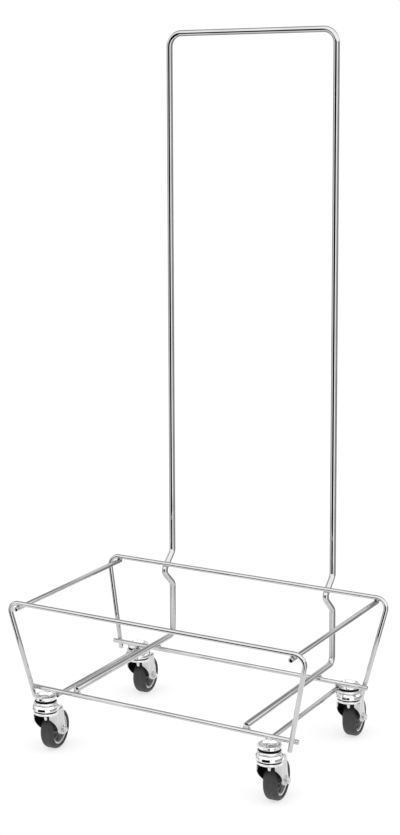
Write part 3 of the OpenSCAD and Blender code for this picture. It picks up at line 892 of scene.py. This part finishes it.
def casters():
    """Makes each caster's pieces, and gives the place of its swivel axis."""
    for key in ("fl", "fr", "rl", "rr"):
        pivot, hub = middle(key + "_cup"), middle(key + "_tyre")
        back = Vector((hub.x - pivot.x, hub.y - pivot.y, 0))
        trail, yaw = back.length, math.atan2(-back.x, back.y)
        caster = Matrix.Translation((pivot.x, pivot.y, 0)) @ Matrix.Rotation(yaw, 4, "Z")
        wheel = caster @ Matrix.Translation((0, trail, WHEEL_R)) @ Matrix.Rotation(math.pi / 2, 4, "Y")
        for node, part, body, slot, place in (
                ("cup", cup(), "frame", "caster_chrome", caster),
                ("seal", seal(), "frame", "seal_rubber", caster),
                ("upper_race", upper_race(), "frame", "caster_chrome", caster),
                ("lower_race", lower_race(), key + "_swivel", "caster_chrome", caster),
                ("fork", fork(trail), key + "_swivel", "caster_chrome", caster),
                ("axle_bolt", axle_bolt(), key + "_swivel", "bright_hardware", wheel),
                ("axle_nut", axle_nut(), key + "_swivel", "bright_hardware", wheel),
                ("wheel_core", wheel_core(), key + "_wheel", "core_plastic", wheel),
                ("rim_rings", rim_rings(), key + "_wheel", "ring_plastic", wheel),
                ("tyre", tyre(), key + "_wheel", "tyre_rubber", wheel)):
            piece(key + "_" + node, placed(part, place), body, slot)
        yield caster


piece("king_pins", merged(*[placed(king_pin(), c) for c in casters()]), "frame", "bright_hardware")

for key in ("fl", "fr", "rl", "rr"):
    for node, slot in (("balls", "ball_steel"), ("sleeve", "ball_steel")):
        mesh = frame["nodes"][key + "_" + node].data
        mesh.materials.clear()
        mesh.materials.append(MATERIALS[slot])

# ---------------------------------------------------------------- studio

YAW, PITCH, ROLL = math.radians(31.44), math.radians(7.85), math.radians(-0.58)
CAMERA = at(1553.4, -2826.9, 1325.4) * MM
FOCAL, IMAGE_W, IMAGE_H = 1655.0, 400, 835
AXIS_X, AXIS_Y = 121.0, 319.1
FLOOR_R = 0.64


def camera():
    """Camera of a standing viewer; its axis meets the picture up and to the left of the middle."""
    look = Vector((-math.sin(YAW) * math.cos(PITCH), math.cos(YAW) * math.cos(PITCH), -math.sin(PITCH)))
    right = Vector((math.cos(YAW), math.sin(YAW), 0))
    up = right.cross(look)
    across = right * math.cos(ROLL) + up * math.sin(ROLL)
    upward = up * math.cos(ROLL) - right * math.sin(ROLL)
    data = bpy.data.cameras.new("camera")
    data.sensor_fit = "VERTICAL"
    data.sensor_height = 24
    data.lens = data.sensor_height * FOCAL / IMAGE_H
    data.shift_x = (IMAGE_W / 2 - AXIS_X) / IMAGE_H
    data.shift_y = -(IMAGE_H / 2 - AXIS_Y) / IMAGE_H
    data.clip_end = 100
    obj = bpy.data.objects.new("camera", data)
    obj.matrix_world = Matrix.Translation(CAMERA) @ Matrix((across, upward, -look)).transposed().to_4x4()
    bpy.context.scene.collection.objects.link(obj)
    bpy.context.scene.camera = obj


def floor():
    """Round pale floor that fades into the white round it."""
    bpy.ops.mesh.primitive_circle_add(vertices=96, radius=FLOOR_R, fill_type="TRIFAN")
    obj = bpy.context.object
    obj.name = "studio_floor"
    material = bpy.data.materials.new("studio_floor")
    material.use_nodes = True
    tree = material.node_tree
    shader = tree.nodes["Principled BSDF"]
    place = add(tree, "TexCoord").outputs["Object"]
    mottle = add(tree, "TexNoise", {"Vector": place, "Scale": 1.5, "Detail": 2})
    tree.links.new(tone(tree, mottle.outputs["Fac"], grey(0.42), grey(0.45)), shader.inputs["Base Color"])
    shader.inputs["Roughness"].default_value = 0.9
    shader.inputs["Specular IOR Level"].default_value = 0.1
    shader.inputs["Emission Color"].default_value = grey(1.0)
    shader.inputs["Emission Strength"].default_value = 0.62
    white = add(tree, "Emission", {"Strength": 1.0}).outputs[0]
    reach = add(tree, "VectorMath", {0: place}, operation="LENGTH").outputs["Value"]
    mix = add(tree, "MixShader", {0: ramp(tree, reach, 0.44, 0.61, 0.0, 1.0), 1: shader.outputs[0], 2: white})
    tree.links.new(mix.outputs[0], tree.nodes["Material Output"].inputs["Surface"])
    obj.data.materials.append(material)


# Brightness of the room along the horizon: angle from the camera's side in degrees, right positive.
WALLS = [(-180, 0.34), (-125, 0.45), (-98, 0.60), (-84, 1.05), (-68, 1.05), (-64, 0.0), (-3, 0.0), (0, 1.5),
         (33, 1.3), (38, 0.46), (100, 0.36), (135, 0.30), (180, 0.34)]
BRIGHTEST = 1.5
SKY_FRONT, SKY_BACK_LOW, SKY_BACK_HIGH = 1.4, 0.88, 0.34


def along(tree, vector, way):
    return add(tree, "VectorMath", {0: vector, 1: way}, operation="DOT_PRODUCT").outputs["Value"]


def world():
    """White where the camera looks; for the rest a room: walls along the horizon and a sky above them."""
    studio = bpy.data.worlds.new("studio")
    bpy.context.scene.world = studio
    studio.use_nodes = True
    tree = studio.node_tree
    tree.nodes.clear()
    way = add(tree, "TexCoord").outputs["Generated"]
    front = along(tree, way, (math.sin(YAW), -math.cos(YAW), 0))
    right = along(tree, way, (math.cos(YAW), math.sin(YAW), 0))
    height, turn = upwards(tree, way), calc(tree, "ARCTAN2", right, front)
    walls = add(tree, "ValToRGB", {"Fac": ramp(tree, turn, -math.pi, math.pi, 0.0, 1.0)})
    stops = walls.color_ramp.elements
    while len(stops) < len(WALLS):
        stops.new(0.5)
    for stop, (angle, level) in zip(stops, WALLS):
        stop.position = (angle + 180) / 360
        stop.color = grey(level / BRIGHTEST)
    horizon = calc(tree, "MULTIPLY", walls.outputs["Color"], BRIGHTEST)
    back = blend(tree, ramp(tree, height, 0.49, 0.60, 0.0, 1.0), SKY_BACK_LOW, SKY_BACK_HIGH)
    above = blend(tree, ramp(tree, front, -0.35, 0.0, 0.0, 1.0), back, SKY_FRONT)
    level = blend(tree, ramp(tree, height, 0.11, 0.17, 0.0, 1.0), horizon, above)
    lit = add(tree, "Background", {"Color": level}).outputs[0]
    white = add(tree, "Background", {"Color": grey(1.0), "Strength": 1.02}).outputs[0]
    seen = add(tree, "LightPath").outputs["Is Camera Ray"]
    mix = add(tree, "MixShader", {0: seen, 1: lit, 2: white}).outputs[0]
    add(tree, "OutputWorld", {"Surface": mix})


camera()
floor()
world()
scene = bpy.context.scene
scene.view_settings.view_transform = "Standard"
scene.view_settings.look = "None"
